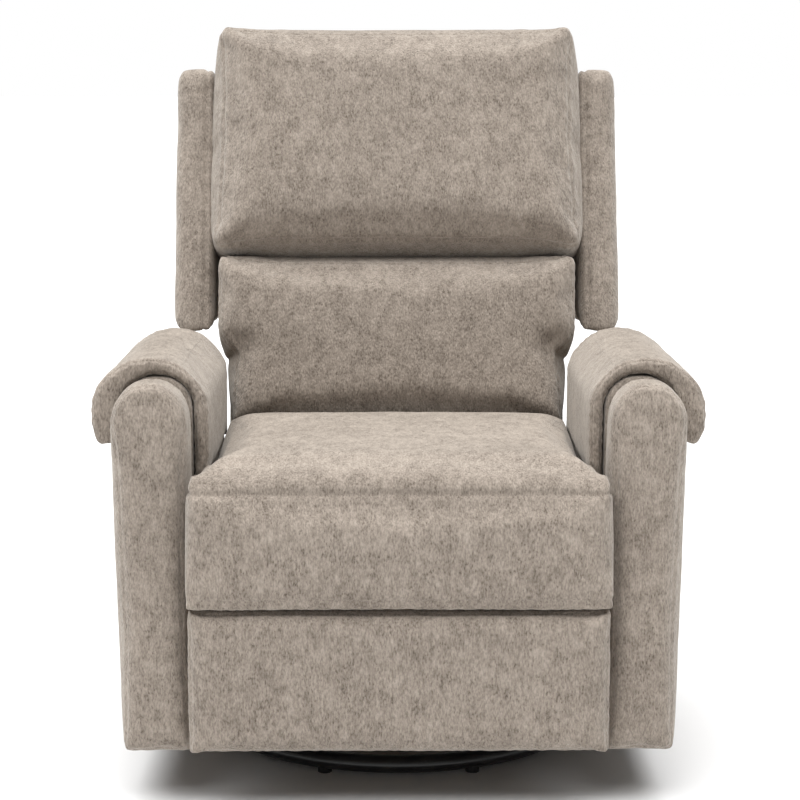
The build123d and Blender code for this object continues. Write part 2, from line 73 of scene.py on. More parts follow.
# ------------------------------------------------------------------ shader groups
class NodeBench:
    """A small bench for wiring shader nodes in one tree."""

    def __init__(self, tree: bpy.types.NodeTree) -> None:
        """Take hold of a tree.

        Args:
            tree: The material's or the group's node tree.
        """
        self.tree = tree

    def add(self, kind: str, **settings: object) -> bpy.types.Node:
        """Add a node.

        Args:
            kind: The node's type name.
            **settings: Attributes to set on it.

        Returns:
            The new node.
        """
        node = self.tree.nodes.new(kind)
        for name, value in settings.items():
            setattr(node, name, value)
        return node

    def wire(self, source: bpy.types.NodeSocket, target: bpy.types.NodeSocket) -> None:
        """Link two sockets."""
        self.tree.links.new(source, target)

    def feed(self, node: bpy.types.Node, index: int, value: object) -> None:
        """Link a socket, or set a plain value, at a node's input.

        Args:
            node: The node that takes the value.
            index: The input's number.
            value: A socket or a constant.
        """
        if isinstance(value, bpy.types.NodeSocket):
            self.wire(value, node.inputs[index])
        else:
            node.inputs[index].default_value = value

    def math(self, operation: str, *values: object) -> bpy.types.NodeSocket:
        """A Math node.

        Args:
            operation: What it does.
            *values: Its inputs, sockets or numbers.

        Returns:
            The result.
        """
        node = self.add("ShaderNodeMath", operation=operation)
        for i, value in enumerate(values):
            self.feed(node, i, value)
        return node.outputs[0]

    def vector(self, operation: str, *values: object) -> bpy.types.NodeSocket:
        """A Vector Math node that puts out a vector.

        Args:
            operation: What it does.
            *values: Its inputs, sockets or constants.

        Returns:
            The result.
        """
        node = self.add("ShaderNodeVectorMath", operation=operation)
        for i, value in enumerate(values):
            self.feed(node, i, value)
        return node.outputs[0]

    def noise(self, place: bpy.types.NodeSocket, scale: float, detail: float,
              rough: float = 0.5) -> bpy.types.NodeSocket:
        """A Noise texture.

        Args:
            place: Where it is read.
            scale: Its scale.
            detail: Its detail.
            rough: Its roughness.

        Returns:
            The noise value.
        """
        node = self.add("ShaderNodeTexNoise")
        self.wire(place, node.inputs["Vector"])
        node.inputs["Scale"].default_value = scale
        node.inputs["Detail"].default_value = detail
        node.inputs["Roughness"].default_value = rough
        return node.outputs[0]

    def spread(self, value: bpy.types.NodeSocket, low: float, high: float,
               to_low: float = 0.0, to_high: float = 1.0) -> bpy.types.NodeSocket:
        """A clamped Map Range.

        Args:
            value: What is mapped.
            low: The value that gives to_low.
            high: The value that gives to_high.
            to_low: The low end put out.
            to_high: The high end put out.

        Returns:
            The mapped value.
        """
        node = self.add("ShaderNodeMapRange", clamp=True)
        for i, item in enumerate((value, low, high, to_low, to_high)):
            self.feed(node, i, item)
        return node.outputs[0]

    def blend(self, amount: object, first: object, second: object,
              mode: str = "MIX") -> bpy.types.NodeSocket:
        """A colour Mix node.

        Args:
            amount: How much of the second colour.
            first: The first colour.
            second: The second colour.
            mode: The blend type.

        Returns:
            The mixed colour.
        """
        node = self.add("ShaderNodeMix", data_type="RGBA", blend_type=mode)
        self.feed(node, 0, amount)
        self.feed(node, 6, first)
        self.feed(node, 7, second)
        return node.outputs[2]


def new_group(name: str, inputs: Sequence[tuple[str, str, float]],
              outputs: Sequence[tuple[str, str]]) -> tuple[NodeBench, bpy.types.Node, bpy.types.Node]:
    """Start a shader node group.

    Args:
        name: The group's name.
        inputs: Name, socket type and default of each input.
        outputs: Name and socket type of each output.

    Returns:
        The bench, the group's input node and its output node.
    """
    tree = bpy.data.node_groups.new(name, "ShaderNodeTree")
    for label, kind, default in inputs:
        socket = tree.interface.new_socket(label, in_out="INPUT", socket_type=kind)
        if kind == "NodeSocketFloat":
            socket.default_value = default
    for label, kind in outputs:
        tree.interface.new_socket(label, in_out="OUTPUT", socket_type=kind)
    bench = NodeBench(tree)
    return bench, bench.add("NodeGroupInput"), bench.add("NodeGroupOutput")


def make_chenille_group() -> bpy.types.NodeTree:
    """The chenille cloth: a looped pile in rows, with slubs, flecks and soft mottling.

    Returns:
        The group. It puts out a tone from dark to light, a fleck mask and a height.
    """
    bench, source, sink = new_group(
        "chenille pile",
        [("Place", "NodeSocketVector", 0.0), ("Lay", "NodeSocketVector", 0.0),
         ("Yarn", "NodeSocketFloat", 420.0), ("Slub Length", "NodeSocketFloat", 4.0)],
        [("Tone", "NodeSocketFloat"), ("Fleck", "NodeSocketFloat"), ("Height", "NodeSocketFloat")])
    place, lay = source.outputs["Place"], source.outputs["Lay"]
    yarn, slub = source.outputs["Yarn"], source.outputs["Slub Length"]
    split = bench.add("ShaderNodeSeparateXYZ")
    bench.wire(lay, split.inputs[0])
    upward = bench.spread(bench.math("ABSOLUTE", split.outputs[2]), 0.80, 0.805)
    drawn = bench.math("DIVIDE", yarn, slub)
    walls = bench.add("ShaderNodeCombineXYZ")
    tops = bench.add("ShaderNodeCombineXYZ")
    for i, value in enumerate((yarn, yarn, drawn)):
        bench.feed(walls, i, value)
    for i, value in enumerate((yarn, drawn, yarn)):
        bench.feed(tops, i, value)
    pick = bench.add("ShaderNodeMix", data_type="VECTOR")
    bench.wire(upward, pick.inputs[0])
    bench.wire(bench.vector("MULTIPLY", place, walls.outputs[0]), pick.inputs[4])
    bench.wire(bench.vector("MULTIPLY", place, tops.outputs[0]), pick.inputs[5])
    thread = pick.outputs[1]

    slubs = bench.noise(thread, 1.0, 2.0, 0.6)
    streaks = bench.noise(thread, 0.33, 2.0, 0.5)
    mottle = bench.noise(place, 38.0, 3.0, 0.55)
    patches = bench.noise(place, 9.0, 2.0, 0.5)
    pile = bench.noise(place, 900.0, 2.0, 0.6)
    loops = bench.add("ShaderNodeTexVoronoi", feature="F1")
    bench.wire(thread, loops.inputs["Vector"])
    loops.inputs["Scale"].default_value = 0.9

    tone = bench.math("MULTIPLY", bench.spread(slubs, 0.30, 0.70), 0.42)
    tone = bench.math("ADD", tone, bench.math("MULTIPLY", bench.spread(streaks, 0.32, 0.68), 0.22))
    tone = bench.math("ADD", tone, bench.math("MULTIPLY", bench.spread(mottle, 0.32, 0.68), 0.20))
    tone = bench.math("ADD", tone, bench.math("MULTIPLY", bench.spread(patches, 0.35, 0.65), 0.08))
    tone = bench.math("ADD", tone, bench.math("MULTIPLY", pile, 0.10))
    bench.wire(tone, sink.inputs["Tone"])
    rare = bench.math("MULTIPLY", bench.spread(slubs, 0.40, 0.30), bench.spread(mottle, 0.56, 0.44))
    bench.wire(rare, sink.inputs["Fleck"])
    height = bench.math("MULTIPLY", bench.spread(loops.outputs["Distance"], 0.0, 0.8, 1.0, 0.0), 0.6)
    height = bench.math("ADD", height, bench.math("MULTIPLY", slubs, 0.5))
    height = bench.math("ADD", height, bench.math("MULTIPLY", pile, 0.25))
    bench.wire(height, sink.inputs["Height"])
    return bench.tree


def make_wear_group() -> bpy.types.NodeTree:
    """Light handling marks and dust for hard parts.

    Returns:
        The group. It puts out a scuff mask and a fine height.
    """
    bench, source, sink = new_group(
        "handling marks",
        [("Place", "NodeSocketVector", 0.0), ("Grain", "NodeSocketFloat", 260.0)],
        [("Scuff", "NodeSocketFloat"), ("Height", "NodeSocketFloat")])
    place = source.outputs["Place"]
    broad = bench.noise(place, 24.0, 4.0, 0.6)
    scaled = bench.vector("SCALE", place)
    scale_node = scaled.node
    bench.wire(source.outputs["Grain"], scale_node.inputs["Scale"])
    fine = bench.noise(scaled, 1.0, 3.0, 0.65)
    bench.wire(bench.math("MULTIPLY", bench.spread(broad, 0.45, 0.75), bench.spread(fine, 0.4, 0.7)),
               sink.inputs["Scuff"])
    bench.wire(fine, sink.inputs["Height"])
    return bench.tree


CHENILLE_GROUP = make_chenille_group()
WEAR_GROUP = make_wear_group()


# ------------------------------------------------------------------ finishes
def start_material(name: str) -> tuple[bpy.types.Material, NodeBench, bpy.types.Node, bpy.types.Node]:
    """Make an empty material with a Principled shader and object coordinates.

    Args:
        name: The material's name.

    Returns:
        The material, its bench, the shader and the coordinates node.
    """
    material = bpy.data.materials.new(name)
    material.use_nodes = True
    material.node_tree.nodes.clear()
    bench = NodeBench(material.node_tree)
    shader = bench.add("ShaderNodeBsdfPrincipled")
    out = bench.add("ShaderNodeOutputMaterial")
    bench.wire(shader.outputs[0], out.inputs[0])
    return material, bench, shader, bench.add("ShaderNodeTexCoord")


@dataclass(frozen=True)
class ChenilleFinish:
    """Beige chenille upholstery cloth."""

    name: str = "beige chenille"
    dark: tuple[float, float, float] = (0.112, 0.089, 0.070)
    light: tuple[float, float, float] = (0.385, 0.330, 0.278)
    fleck: tuple[float, float, float] = (0.085, 0.062, 0.045)
    yarn: float = 470.0
    slub_length: float = 2.4
    pile_depth: float = 0.0016
    sheen: float = 0.35

    def make(self) -> bpy.types.Material:
        """Build the material."""
        material, bench, shader, coords = start_material(self.name)
        cloth = bench.add("ShaderNodeGroup")
        cloth.node_tree = CHENILLE_GROUP
        cloth.inputs["Yarn"].default_value = self.yarn
        cloth.inputs["Slub Length"].default_value = self.slub_length
        bench.wire(coords.outputs["Object"], cloth.inputs["Place"])
        bench.wire(coords.outputs["Normal"], cloth.inputs["Lay"])
        tone = bench.spread(cloth.outputs["Tone"], 0.12, 0.88)
        body = bench.blend(tone, (*self.dark, 1), (*self.light, 1))
        marked = bench.blend(bench.math("MULTIPLY", cloth.outputs["Fleck"], 0.75), body,
                             (*self.fleck, 1))
        bench.wire(marked, shader.inputs["Base Color"])
        bench.wire(bench.spread(cloth.outputs["Tone"], 0.1, 0.9, 0.96, 0.84), shader.inputs["Roughness"])
        shader.inputs["Sheen Weight"].default_value = self.sheen
        shader.inputs["Sheen Roughness"].default_value = 0.55
        shader.inputs["Sheen Tint"].default_value = (1.0, 0.95, 0.88, 1.0)
        shader.inputs["Specular IOR Level"].default_value = 0.25
        bump = bench.add("ShaderNodeBump")
        bump.inputs["Strength"].default_value = 0.75
        bump.inputs["Distance"].default_value = self.pile_depth
        bench.wire(cloth.outputs["Height"], bump.inputs["Height"])
        bench.wire(bump.outputs[0], shader.inputs["Normal"])
        return material


@dataclass(frozen=True)
class HardFinish:
    """A painted, plated, moulded or rubber surface with light handling marks."""

    name: str
    colour: tuple[float, float, float]
    marked: tuple[float, float, float]
    roughness: tuple[float, float]
    metallic: float = 0.0
    coat: float = 0.0
    grain: float = 260.0
    depth: float = 0.0002

    def make(self) -> bpy.types.Material:
        """Build the material."""
        material, bench, shader, coords = start_material(self.name)
        marks = bench.add("ShaderNodeGroup")
        marks.node_tree = WEAR_GROUP
        marks.inputs["Grain"].default_value = self.grain
        bench.wire(coords.outputs["Object"], marks.inputs["Place"])
        bench.wire(bench.blend(marks.outputs["Scuff"], (*self.colour, 1), (*self.marked, 1)),
                   shader.inputs["Base Color"])
        bench.wire(bench.spread(marks.outputs["Scuff"], 0.0, 1.0, *self.roughness),
                   shader.inputs["Roughness"])
        shader.inputs["Metallic"].default_value = self.metallic
        shader.inputs["Coat Weight"].default_value = self.coat
        bump = bench.add("ShaderNodeBump")
        bump.inputs["Strength"].default_value = 0.4
        bump.inputs["Distance"].default_value = self.depth
        bench.wire(marks.outputs["Height"], bump.inputs["Height"])
        bench.wire(bump.outputs[0], shader.inputs["Normal"])
        return material


@dataclass(frozen=True)
class PlywoodFinish:
    """Raw birch plywood with long grain."""

    name: str = "raw plywood"
    pale: tuple[float, float, float] = (0.64, 0.47, 0.29)
    dark: tuple[float, float, float] = (0.42, 0.27, 0.14)

    def make(self) -> bpy.types.Material:
        """Build the material."""
        material, bench, shader, coords = start_material(self.name)
        drawn = bench.vector("MULTIPLY", coords.outputs["Object"], (9.0, 160.0, 160.0))
        figure = bench.noise(drawn, 1.0, 5.0, 0.65)
        fibre = bench.noise(bench.vector("MULTIPLY", coords.outputs["Object"], (60.0, 900.0, 900.0)),
                            1.0, 2.0, 0.6)
        mask = bench.math("ADD", bench.math("MULTIPLY", bench.spread(figure, 0.3, 0.7), 0.7),
                          bench.math("MULTIPLY", fibre, 0.3))
        bench.wire(bench.blend(mask, (*self.pale, 1), (*self.dark, 1)), shader.inputs["Base Color"])
        bench.wire(bench.spread(fibre, 0.3, 0.7, 0.62, 0.8), shader.inputs["Roughness"])
        bump = bench.add("ShaderNodeBump")
        bump.inputs["Strength"].default_value = 0.3
        bump.inputs["Distance"].default_value = 0.0003
        bench.wire(fibre, bump.inputs["Height"])
        bench.wire(bump.outputs[0], shader.inputs["Normal"])
        return material


class FinishRack:
    """Every finish on the chair, made once and looked up by the record's slot."""

    def __init__(self) -> None:
        """Make the materials."""
        self.by_slot: dict[str, bpy.types.Material] = {
            "chenille": ChenilleFinish().make(),
            "black_steel": HardFinish("satin black steel", (0.012, 0.012, 0.013), (0.035, 0.034, 0.033),
                                      (0.34, 0.55), 0.0, 0.25).make(),
            "zinc_steel": HardFinish("zinc plated steel", (0.50, 0.51, 0.52), (0.34, 0.35, 0.36),
                                     (0.30, 0.48), 1.0, 0.0, 420.0).make(),
            "frame_wood": PlywoodFinish().make(),
            "black_plastic": HardFinish("moulded black plastic", (0.018, 0.018, 0.019),
                                        (0.04, 0.04, 0.04), (0.48, 0.62), 0.0, 0.0, 1500.0,
                                        0.0004).make(),
            "foot_rubber": HardFinish("black rubber", (0.014, 0.014, 0.014), (0.05, 0.05, 0.048),
                                      (0.75, 0.9), 0.0, 0.0, 700.0, 0.0004).make(),
        }

    def dress(self, piece: bpy.types.Object, slot: str) -> None:
        """Give a piece the finish of one slot.

        Args:
            piece: The mesh object.
            slot: The record's slot name.
        """
        piece.data.materials.clear()
        piece.data.materials.append(self.by_slot[slot])

    def dress_node(self, node: str) -> None:
        """Put the finish of its own slot on a CAD node that stays."""
        slots = {part["node"]: part["material_slot"] for part in frame["record"]["subparts"]}
        self.dress(frame["nodes"][node], slots[node])


# ------------------------------------------------------------------ soft goods
@dataclass(frozen=True)
class Seam:
    """A sewn line where the surface meets a plane of the piece's own frame.

    The line runs where a coordinate has one value, and holds only inside a region.
    """

    axis: Axis
    at: float
    depth: float = 3.0
    width: float = 5.0
    where: Callable[[np.ndarray, np.ndarray], np.ndarray] | None = None
    pucker: float = 1.0


@dataclass(frozen=True)
class Pad:
    """How one padded piece is made from the space that its CAD solid holds. Sizes are in mm.

    The inset shrinks the solid before it swells, the cap limits how far the swelling moves it, and
    the reach is the room past each side of the solid. The fills are the half width, low end and
    high end that the settled form is drawn out to, where they are given.
    """

    node: str
    body: str
    voxel: float = 6.0
    inset: tuple[float, float, float] = (4.0, 4.0, 4.0)
    pressure: float = 4.0
    cap: float = 22.0
    frames: int = 18
    fill: float = 0.7
    leans: bool = False
    wrinkle: float = 1.2
    grain: float = 9.0
    seams: tuple[Seam, ...] = ()
    held: Callable[[np.ndarray], np.ndarray] | None = None
    sculpt: Callable[[np.ndarray], np.ndarray] | None = None
    reach: tuple[tuple[float, float], ...] = ((3.0, 3.0), (3.0, 3.0), (3.0, 3.0))
    subdivide: bool = True
    soften: int = 6
    fills: tuple[float | None, float | None, float | None] = (None, None, None)
    seed: float = 0.0


class Workroom:
    """Makes padded pieces: cloth-simulated forms with seams, puckers and soft creases."""

    def __init__(self, rack: FinishRack) -> None:
        """Take the finishes.

        Args:
            rack: The chair's finishes.
        """
        self.rack = rack
        pivot = next(j for j in frame["joints"] if j["name"] == "back_recline")["pos_m"]
        pivot = Vector(pivot)
        self.upright = (Matrix.Translation(pivot) @ Matrix.Rotation(BACK_LEAN, 4, "X")
                        @ Matrix.Translation(-pivot))

    @staticmethod
    def read(piece: bpy.types.Object) -> np.ndarray:
        """A piece's vertices as an array in metres."""
        flat = np.empty(len(piece.data.vertices) * 3)
        piece.data.vertices.foreach_get("co", flat)
        return flat.reshape(-1, 3)

    @staticmethod
    def write(piece: bpy.types.Object, points: np.ndarray) -> None:
        """Put an array of points back into a piece."""
        piece.data.vertices.foreach_set("co", points.ravel())
        piece.data.update()

    @staticmethod
    def normals(piece: bpy.types.Object) -> np.ndarray:
        """A piece's vertex normals as an array."""
        flat = np.empty(len(piece.data.vertices) * 3)
        piece.data.vertices.foreach_get("normal", flat)
        return flat.reshape(-1, 3)

    @staticmethod
    def pick(piece: bpy.types.Object) -> None:
        """Make a piece the only selected and active object."""
        for other in bpy.context.selected_objects:
            other.select_set(False)
        piece.select_set(True)
        bpy.context.view_layer.objects.active = piece

    def apply(self, piece: bpy.types.Object, kind: str, name: str, **settings: object) -> None:
        """Add a modifier and apply it.

        Args:
            piece: The mesh object.
            kind: The modifier's type.
            name: Its name.
            **settings: Attributes to set on it.
        """
        modifier = piece.modifiers.new(name, kind)
        for key, value in settings.items():
            setattr(modifier, key, value)
        self.pick(piece)
        bpy.ops.object.modifier_apply(modifier=name)

    def blank(self, pad: Pad, name: str) -> bpy.types.Object:
        """Copy a node's solid into a new closed mesh, upright and slightly smaller.

        Args:
            pad: The piece's recipe.
            name: The new piece's name.

        Returns:
            The remeshed form.
        """
        mesh = frame["nodes"][pad.node].data.copy()
        mesh.name = name
        piece = bpy.data.objects.new(name, mesh)
        bpy.context.scene.collection.objects.link(piece)
        piece.data.materials.clear()
        if pad.leans:
            mesh.transform(self.upright)
        self.pick(piece)
        bpy.ops.object.mode_set(mode="EDIT")
        bpy.ops.mesh.select_all(action="SELECT")
        bpy.ops.mesh.remove_doubles(threshold=0.00002)
        bpy.ops.object.mode_set(mode="OBJECT")
        points = self.read(piece)
        low, high = points.min(axis=0), points.max(axis=0)
        middle, half = (low + high) / 2, (high - low) / 2
        inset = np.array(pad.inset) * MM
        self.write(piece, middle + (points - middle) * (1 - inset / half))
        self.apply(piece, "REMESH", "even grid", mode="VOXEL", voxel_size=pad.voxel * MM,
                   use_smooth_shade=True)
        return piece

    def swell(self, piece: bpy.types.Object, pad: Pad) -> None:
        """Blow the form up with cloth pressure, and hold back how far it moves.

        Args:
            piece: The remeshed form.
            pad: Its recipe.
        """
        rest = self.read(piece)
        modifier = piece.modifiers.new("stuffing", "CLOTH")
        cloth = modifier.settings
        cloth.quality = 4
        cloth.mass = 0.3
        cloth.use_pressure = True
        cloth.uniform_pressure_force = pad.pressure
        cloth.tension_stiffness = 12
        cloth.compression_stiffness = 6
        cloth.shear_stiffness = 4
        cloth.bending_stiffness = 0.6
        cloth.effector_weights.gravity = 0
        modifier.collision_settings.use_collision = False
        if pad.held is not None:
            group = piece.vertex_groups.new(name="held")
            group.add([int(i) for i in np.nonzero(pad.held(rest))[0]], 1.0, "REPLACE")
            cloth.vertex_group_mass = "held"
        modifier.point_cache.frame_start = 1
        modifier.point_cache.frame_end = pad.frames
        scene = bpy.context.scene
        for step in range(1, pad.frames + 1):
            scene.frame_set(step)
        seen = piece.evaluated_get(bpy.context.evaluated_depsgraph_get())
        flat = np.empty(len(seen.data.vertices) * 3)
        seen.data.vertices.foreach_get("co", flat)
        moved = flat.reshape(-1, 3) - rest
        length = np.linalg.norm(moved, axis=1, keepdims=True) + 1e-9
        cap = pad.cap * MM
        piece.modifiers.remove(modifier)
        self.write(piece, rest + moved * (cap * np.tanh(length / cap) / length))
        scene.frame_set(1)

    def contain(self, piece: bpy.types.Object, pad: Pad, low: np.ndarray, high: np.ndarray) -> None:
        """Press a swollen form softly back into the room it has.

        Args:
            piece: The form.
            pad: Its recipe.
            low: The lowest corner of its CAD solid in its upright frame.
            high: The highest corner.
        """
        points = self.read(piece)
        soft = 10 * MM
        for axis in range(3):
            floor = low[axis] - pad.reach[axis][0] * MM
            roof = high[axis] + pad.reach[axis][1] * MM
            line = points[:, axis]
            over = line - (roof - soft)
            line = np.where(over > 0, roof - soft + soft * np.tanh(over / soft), line)
            under = (floor + soft) - line
            points[:, axis] = np.where(under > 0, floor + soft - soft * np.tanh(under / soft), line)
        self.write(piece, points)

    def settle(self, piece: bpy.types.Object, pad: Pad) -> None:
        """Round a form's folds off, then let it fill the width and height it is stuffed to.

        Args:
            piece: The form.
            pad: Its recipe. Its fills are a half width, a low end and a high end.
        """
        self.apply(piece, "SMOOTH", "soften", factor=0.5, iterations=pad.soften)
        points = self.read(piece)
        half, low, high = pad.fills
        if half is not None:
            points[:, 0] *= half * MM / np.abs(points[:, 0]).max()
        now_low, now_high = points[:, 2].min(), points[:, 2].max()
        low = now_low if low is None else low * MM
        high = now_high if high is None else high * MM
        points[:, 2] = low + (points[:, 2] - now_low) * (high - low) / (now_high - now_low)
        self.write(piece, points)

    def crease(self, piece: bpy.types.Object, pad: Pad) -> None:
        """Sew the seams in, with puckers beside them, and lay soft creases over the rest.

        Args:
            piece: The finished form.
            pad: Its recipe.
        """
        points = self.read(piece)
        outward = self.normals(piece)
        push = np.zeros(len(points))
        for i, point in enumerate(points):
            spot = Vector(point) * pad.grain + Vector((pad.seed, 0, 0))
            push[i] = noise.noise(spot) * 0.65 + noise.noise(spot * 2.7) * 0.35
        push *= pad.wrinkle * MM
        for seam in pad.seams:
            apart = points[:, seam.axis.value] - seam.at * MM
            near = np.exp(-(apart / (seam.width * MM)) ** 2)
            beside = np.exp(-(apart / (seam.width * 4 * MM)) ** 2)
            held = np.ones(len(points))
            if seam.where is not None:
                held = seam.where(points, outward).astype(float)
            others = [axis for axis in range(3) if axis != seam.axis.value]
            along = points[:, others[0]] * 1.0 + points[:, others[1]] * 0.83
            ripple = np.sin(along * 330 + 2.2 * np.sin(along * 71 + pad.seed))
            push -= held * near * seam.depth * MM
            push += held * beside * (1 - near) * ripple * 0.45 * seam.pucker * MM
        self.write(piece, points + outward * push[:, None])

    def make(self, pad: Pad, name: str) -> bpy.types.Object:
        """Make one padded piece and put it on its body.

        Args:
            pad: Its recipe.
            name: The new piece's name.

        Returns:
            The finished piece.
        """
        piece = self.blank(pad, name)
        points = self.read(piece)
        inset = np.array(pad.inset) * MM
        low, high = points.min(axis=0) - inset, points.max(axis=0) + inset
        if pad.pressure > 0:
            self.swell(piece, pad)
        if pad.sculpt is not None:
            self.write(piece, pad.sculpt(self.read(piece)))
        self.contain(piece, pad, low, high)
        if pad.pressure > 0:
            self.settle(piece, pad)
        if pad.subdivide:
            self.apply(piece, "SUBSURF", "finer", levels=1, render_levels=1)
        self.crease(piece, pad)
        if pad.leans:
            piece.data.transform(self.upright.inverted())
        self.rack.dress(piece, "chenille")
        piece.data.shade_smooth()
        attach(piece, pad.body)
        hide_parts(pad.node)
        LOG.info("%s: %d faces", name, len(piece.data.polygons))
        return piece


@dataclass
class SeatUnit:
    """The seat cushion with its front lip, and the rear apron."""

    shop: Workroom
    front: float = -437.0
    seam_height: float = 447.5
    lip_rear: float = -402.0
    pad_front: float = -326.0

    def shape_seat(self, points: np.ndarray) -> np.ndarray:
        """Crown the top, and let the front belly out between its ends.

        Args:
            points: The form, in metres.

        Returns:
            The crowned seat.
        """
        shaped = points.copy()
        x = np.abs(points[:, 0])
        rise = np.clip((points[:, 2] / MM - 430) / 45, 0, 1)
        across = np.clip(x / 0.27, 0, 1)
        crown = 9 * MM * (1 - across ** 2) - 12 * MM * np.clip((x - 0.22) / 0.07, 0, 1) ** 2
        shaped[:, 2] += crown * rise
        ahead = np.clip(((self.front + 30) * MM - points[:, 1]) / (20 * MM), 0, 1)
        height = np.clip((points[:, 2] / MM - 285) / 165, 0, 1)
        belly = 4 * MM * np.sin(np.pi * height) * (1 - np.clip(x / 0.30, 0, 1) ** 4)
        shaped[:, 1] -= ahead * belly
        return shaped

    def build(self) -> None:
        """Make the cushion and the apron."""
        lip = lambda p, n: (p[:, 1] < self.pad_front * MM) & (p[:, 2] > 0.43) & (n[:, 2] < 0.85)
        low_edge = lambda p, n: (p[:, 1] < self.lip_rear * MM) & (n[:, 2] < 0.3)
        seat = Pad(
            "seat_cushion", "seat_unit", voxel=6.0, inset=(2.0, 4.0, 2.0), pressure=3.5, cap=12.0,
            fill=0.75, wrinkle=1.6, grain=8.0,
            seams=(Seam(Axis.Z, self.seam_height - 5, 3.0, 4.0, lip),
                   Seam(Axis.Z, 297.0, 1.2, 4.0, low_edge, 1.4)),
            held=lambda p: (p[:, 2] < 0.296) | (p[:, 1] > 0.018), sculpt=self.shape_seat,
            fills=(None, 284.3, None),
            reach=((2.0, 2.0), (6.0, 0.0), (1.0, 12.0)), seed=3.0)
        self.shop.make(seat, "seat_cover")
        apron = Pad("rear_apron", "seat_unit", voxel=7.0, inset=(0.5, 1.0, 0.5), pressure=0.0,
                    fill=0.3, wrinkle=1.4, grain=7.0, subdivide=False, seed=5.0,
                    reach=((0.0, 0.0), (1.0, 3.0), (1.0, 1.0)))
        self.shop.make(apron, "rear_apron_cover")


@dataclass
class Arms:
    """The two arms: a side panel, a front post and a sleeve pad over the top."""

    shop: Workroom
    shoulder_mid: float = 338.0
    pad_front: float = -325.0

    def build_side(self, side: Side) -> None:
        """Make one arm.

        Args:
            side: Which arm.
        """
        sign = side.value
        post_mid = sign * self.shoulder_mid

        def top_half(p: np.ndarray, n: np.ndarray) -> np.ndarray:
            """Where the post's short centre seam runs."""
            return (p[:, 2] > 0.535) & (n[:, 1] < 0.2)

        def rim(p: np.ndarray, n: np.ndarray) -> np.ndarray:
            """The sides of the post, away from its front face."""
            return n[:, 1] > -0.9

        post = Pad(
            f"arm_post_{side.word}", "seat_unit", voxel=6.0, inset=(3.0, 3.0, 2.0), pressure=3.0,
            cap=9.0, fill=0.7, wrinkle=1.3, grain=10.0, seed=11.0 + sign,
            seams=(Seam(Axis.X, post_mid, 2.4, 3.0, top_half, 1.2),
                   Seam(Axis.Y, -390.0, 1.6, 3.0, rim, 0.8)),
            held=lambda p: p[:, 1] > -0.332, reach=((1.0, 1.0), (4.0, 0.0), (0.0, 3.0)))
        self.shop.make(post, f"arm_post_cover_{side.word}")

        panel = Pad(
            f"arm_panel_{side.word}", "seat_unit", voxel=8.0, inset=(0.5, 0.5, 0.5), pressure=0.0,
            fill=0.4, wrinkle=1.6, grain=6.0, seed=21.0 + sign,
            seams=(Seam(Axis.Y, 240.0, 1.5, 4.0, lambda p, n: n[:, 1] < 0.8),),
            reach=((1.0, 1.0), (0.0, 1.0), (0.0, 0.0)))
        self.shop.make(panel, f"arm_panel_cover_{side.word}")

        sleeve = Pad(
            f"arm_pad_{side.word}", "seat_unit", voxel=6.0, inset=(0.0, 2.0, 0.5), pressure=3.0,
            cap=9.0, fill=0.8, wrinkle=1.8, grain=8.0, seed=31.0 + sign,
            seams=(Seam(Axis.Y, self.pad_front + 5, 3.2, 3.5, lambda p, n: n[:, 1] > -0.8, 1.6),
                   Seam(Axis.Y, 47.0, 3.0, 3.5, lambda p, n: n[:, 1] < 0.8, 1.2)),
            held=lambda p: self.against_arm(p, sign), sculpt=self.shape_sleeve, soften=3,
            reach=((9.0, 1.0) if sign < 0 else (1.0, 9.0), (2.0, 2.0), (12.0, 4.0)))
        self.shop.make(sleeve, f"arm_pad_cover_{side.word}")

    @staticmethod
    def shape_sleeve(points: np.ndarray) -> np.ndarray:
        """Let the sleeve's outer side hang a little fuller and lower.

        Args:
            points: The form, in metres.

        Returns:
            The fuller sleeve.
        """
        shaped = points.copy()
        outer = np.clip((np.abs(points[:, 0]) - 0.385) / 0.03, 0, 1)
        shaped[:, 0] += np.sign(points[:, 0]) * 4 * MM * outer
        shaped[:, 2] -= 9 * MM * outer * np.clip((0.56 - points[:, 2]) / 0.03, 0, 1)
        return shaped

    def against_arm(self, points: np.ndarray, sign: int) -> np.ndarray:
        """Where the sleeve lies on the arm under it.

        Args:
            points: Its vertices.
            sign: The side's sign.

        Returns:
            True for each vertex that is held.
        """
        centre, radius, height = 333.5 * MM, 54.0 * MM, 539.5 * MM
        x = sign * points[:, 0] - centre
        z = np.maximum(points[:, 2] - height, 0)
        return (np.hypot(x, z) < radius) & (points[:, 2] > 0.43)

    def build(self) -> None:
        """Make both arms."""
        for side in Side:
            self.build_side(side)


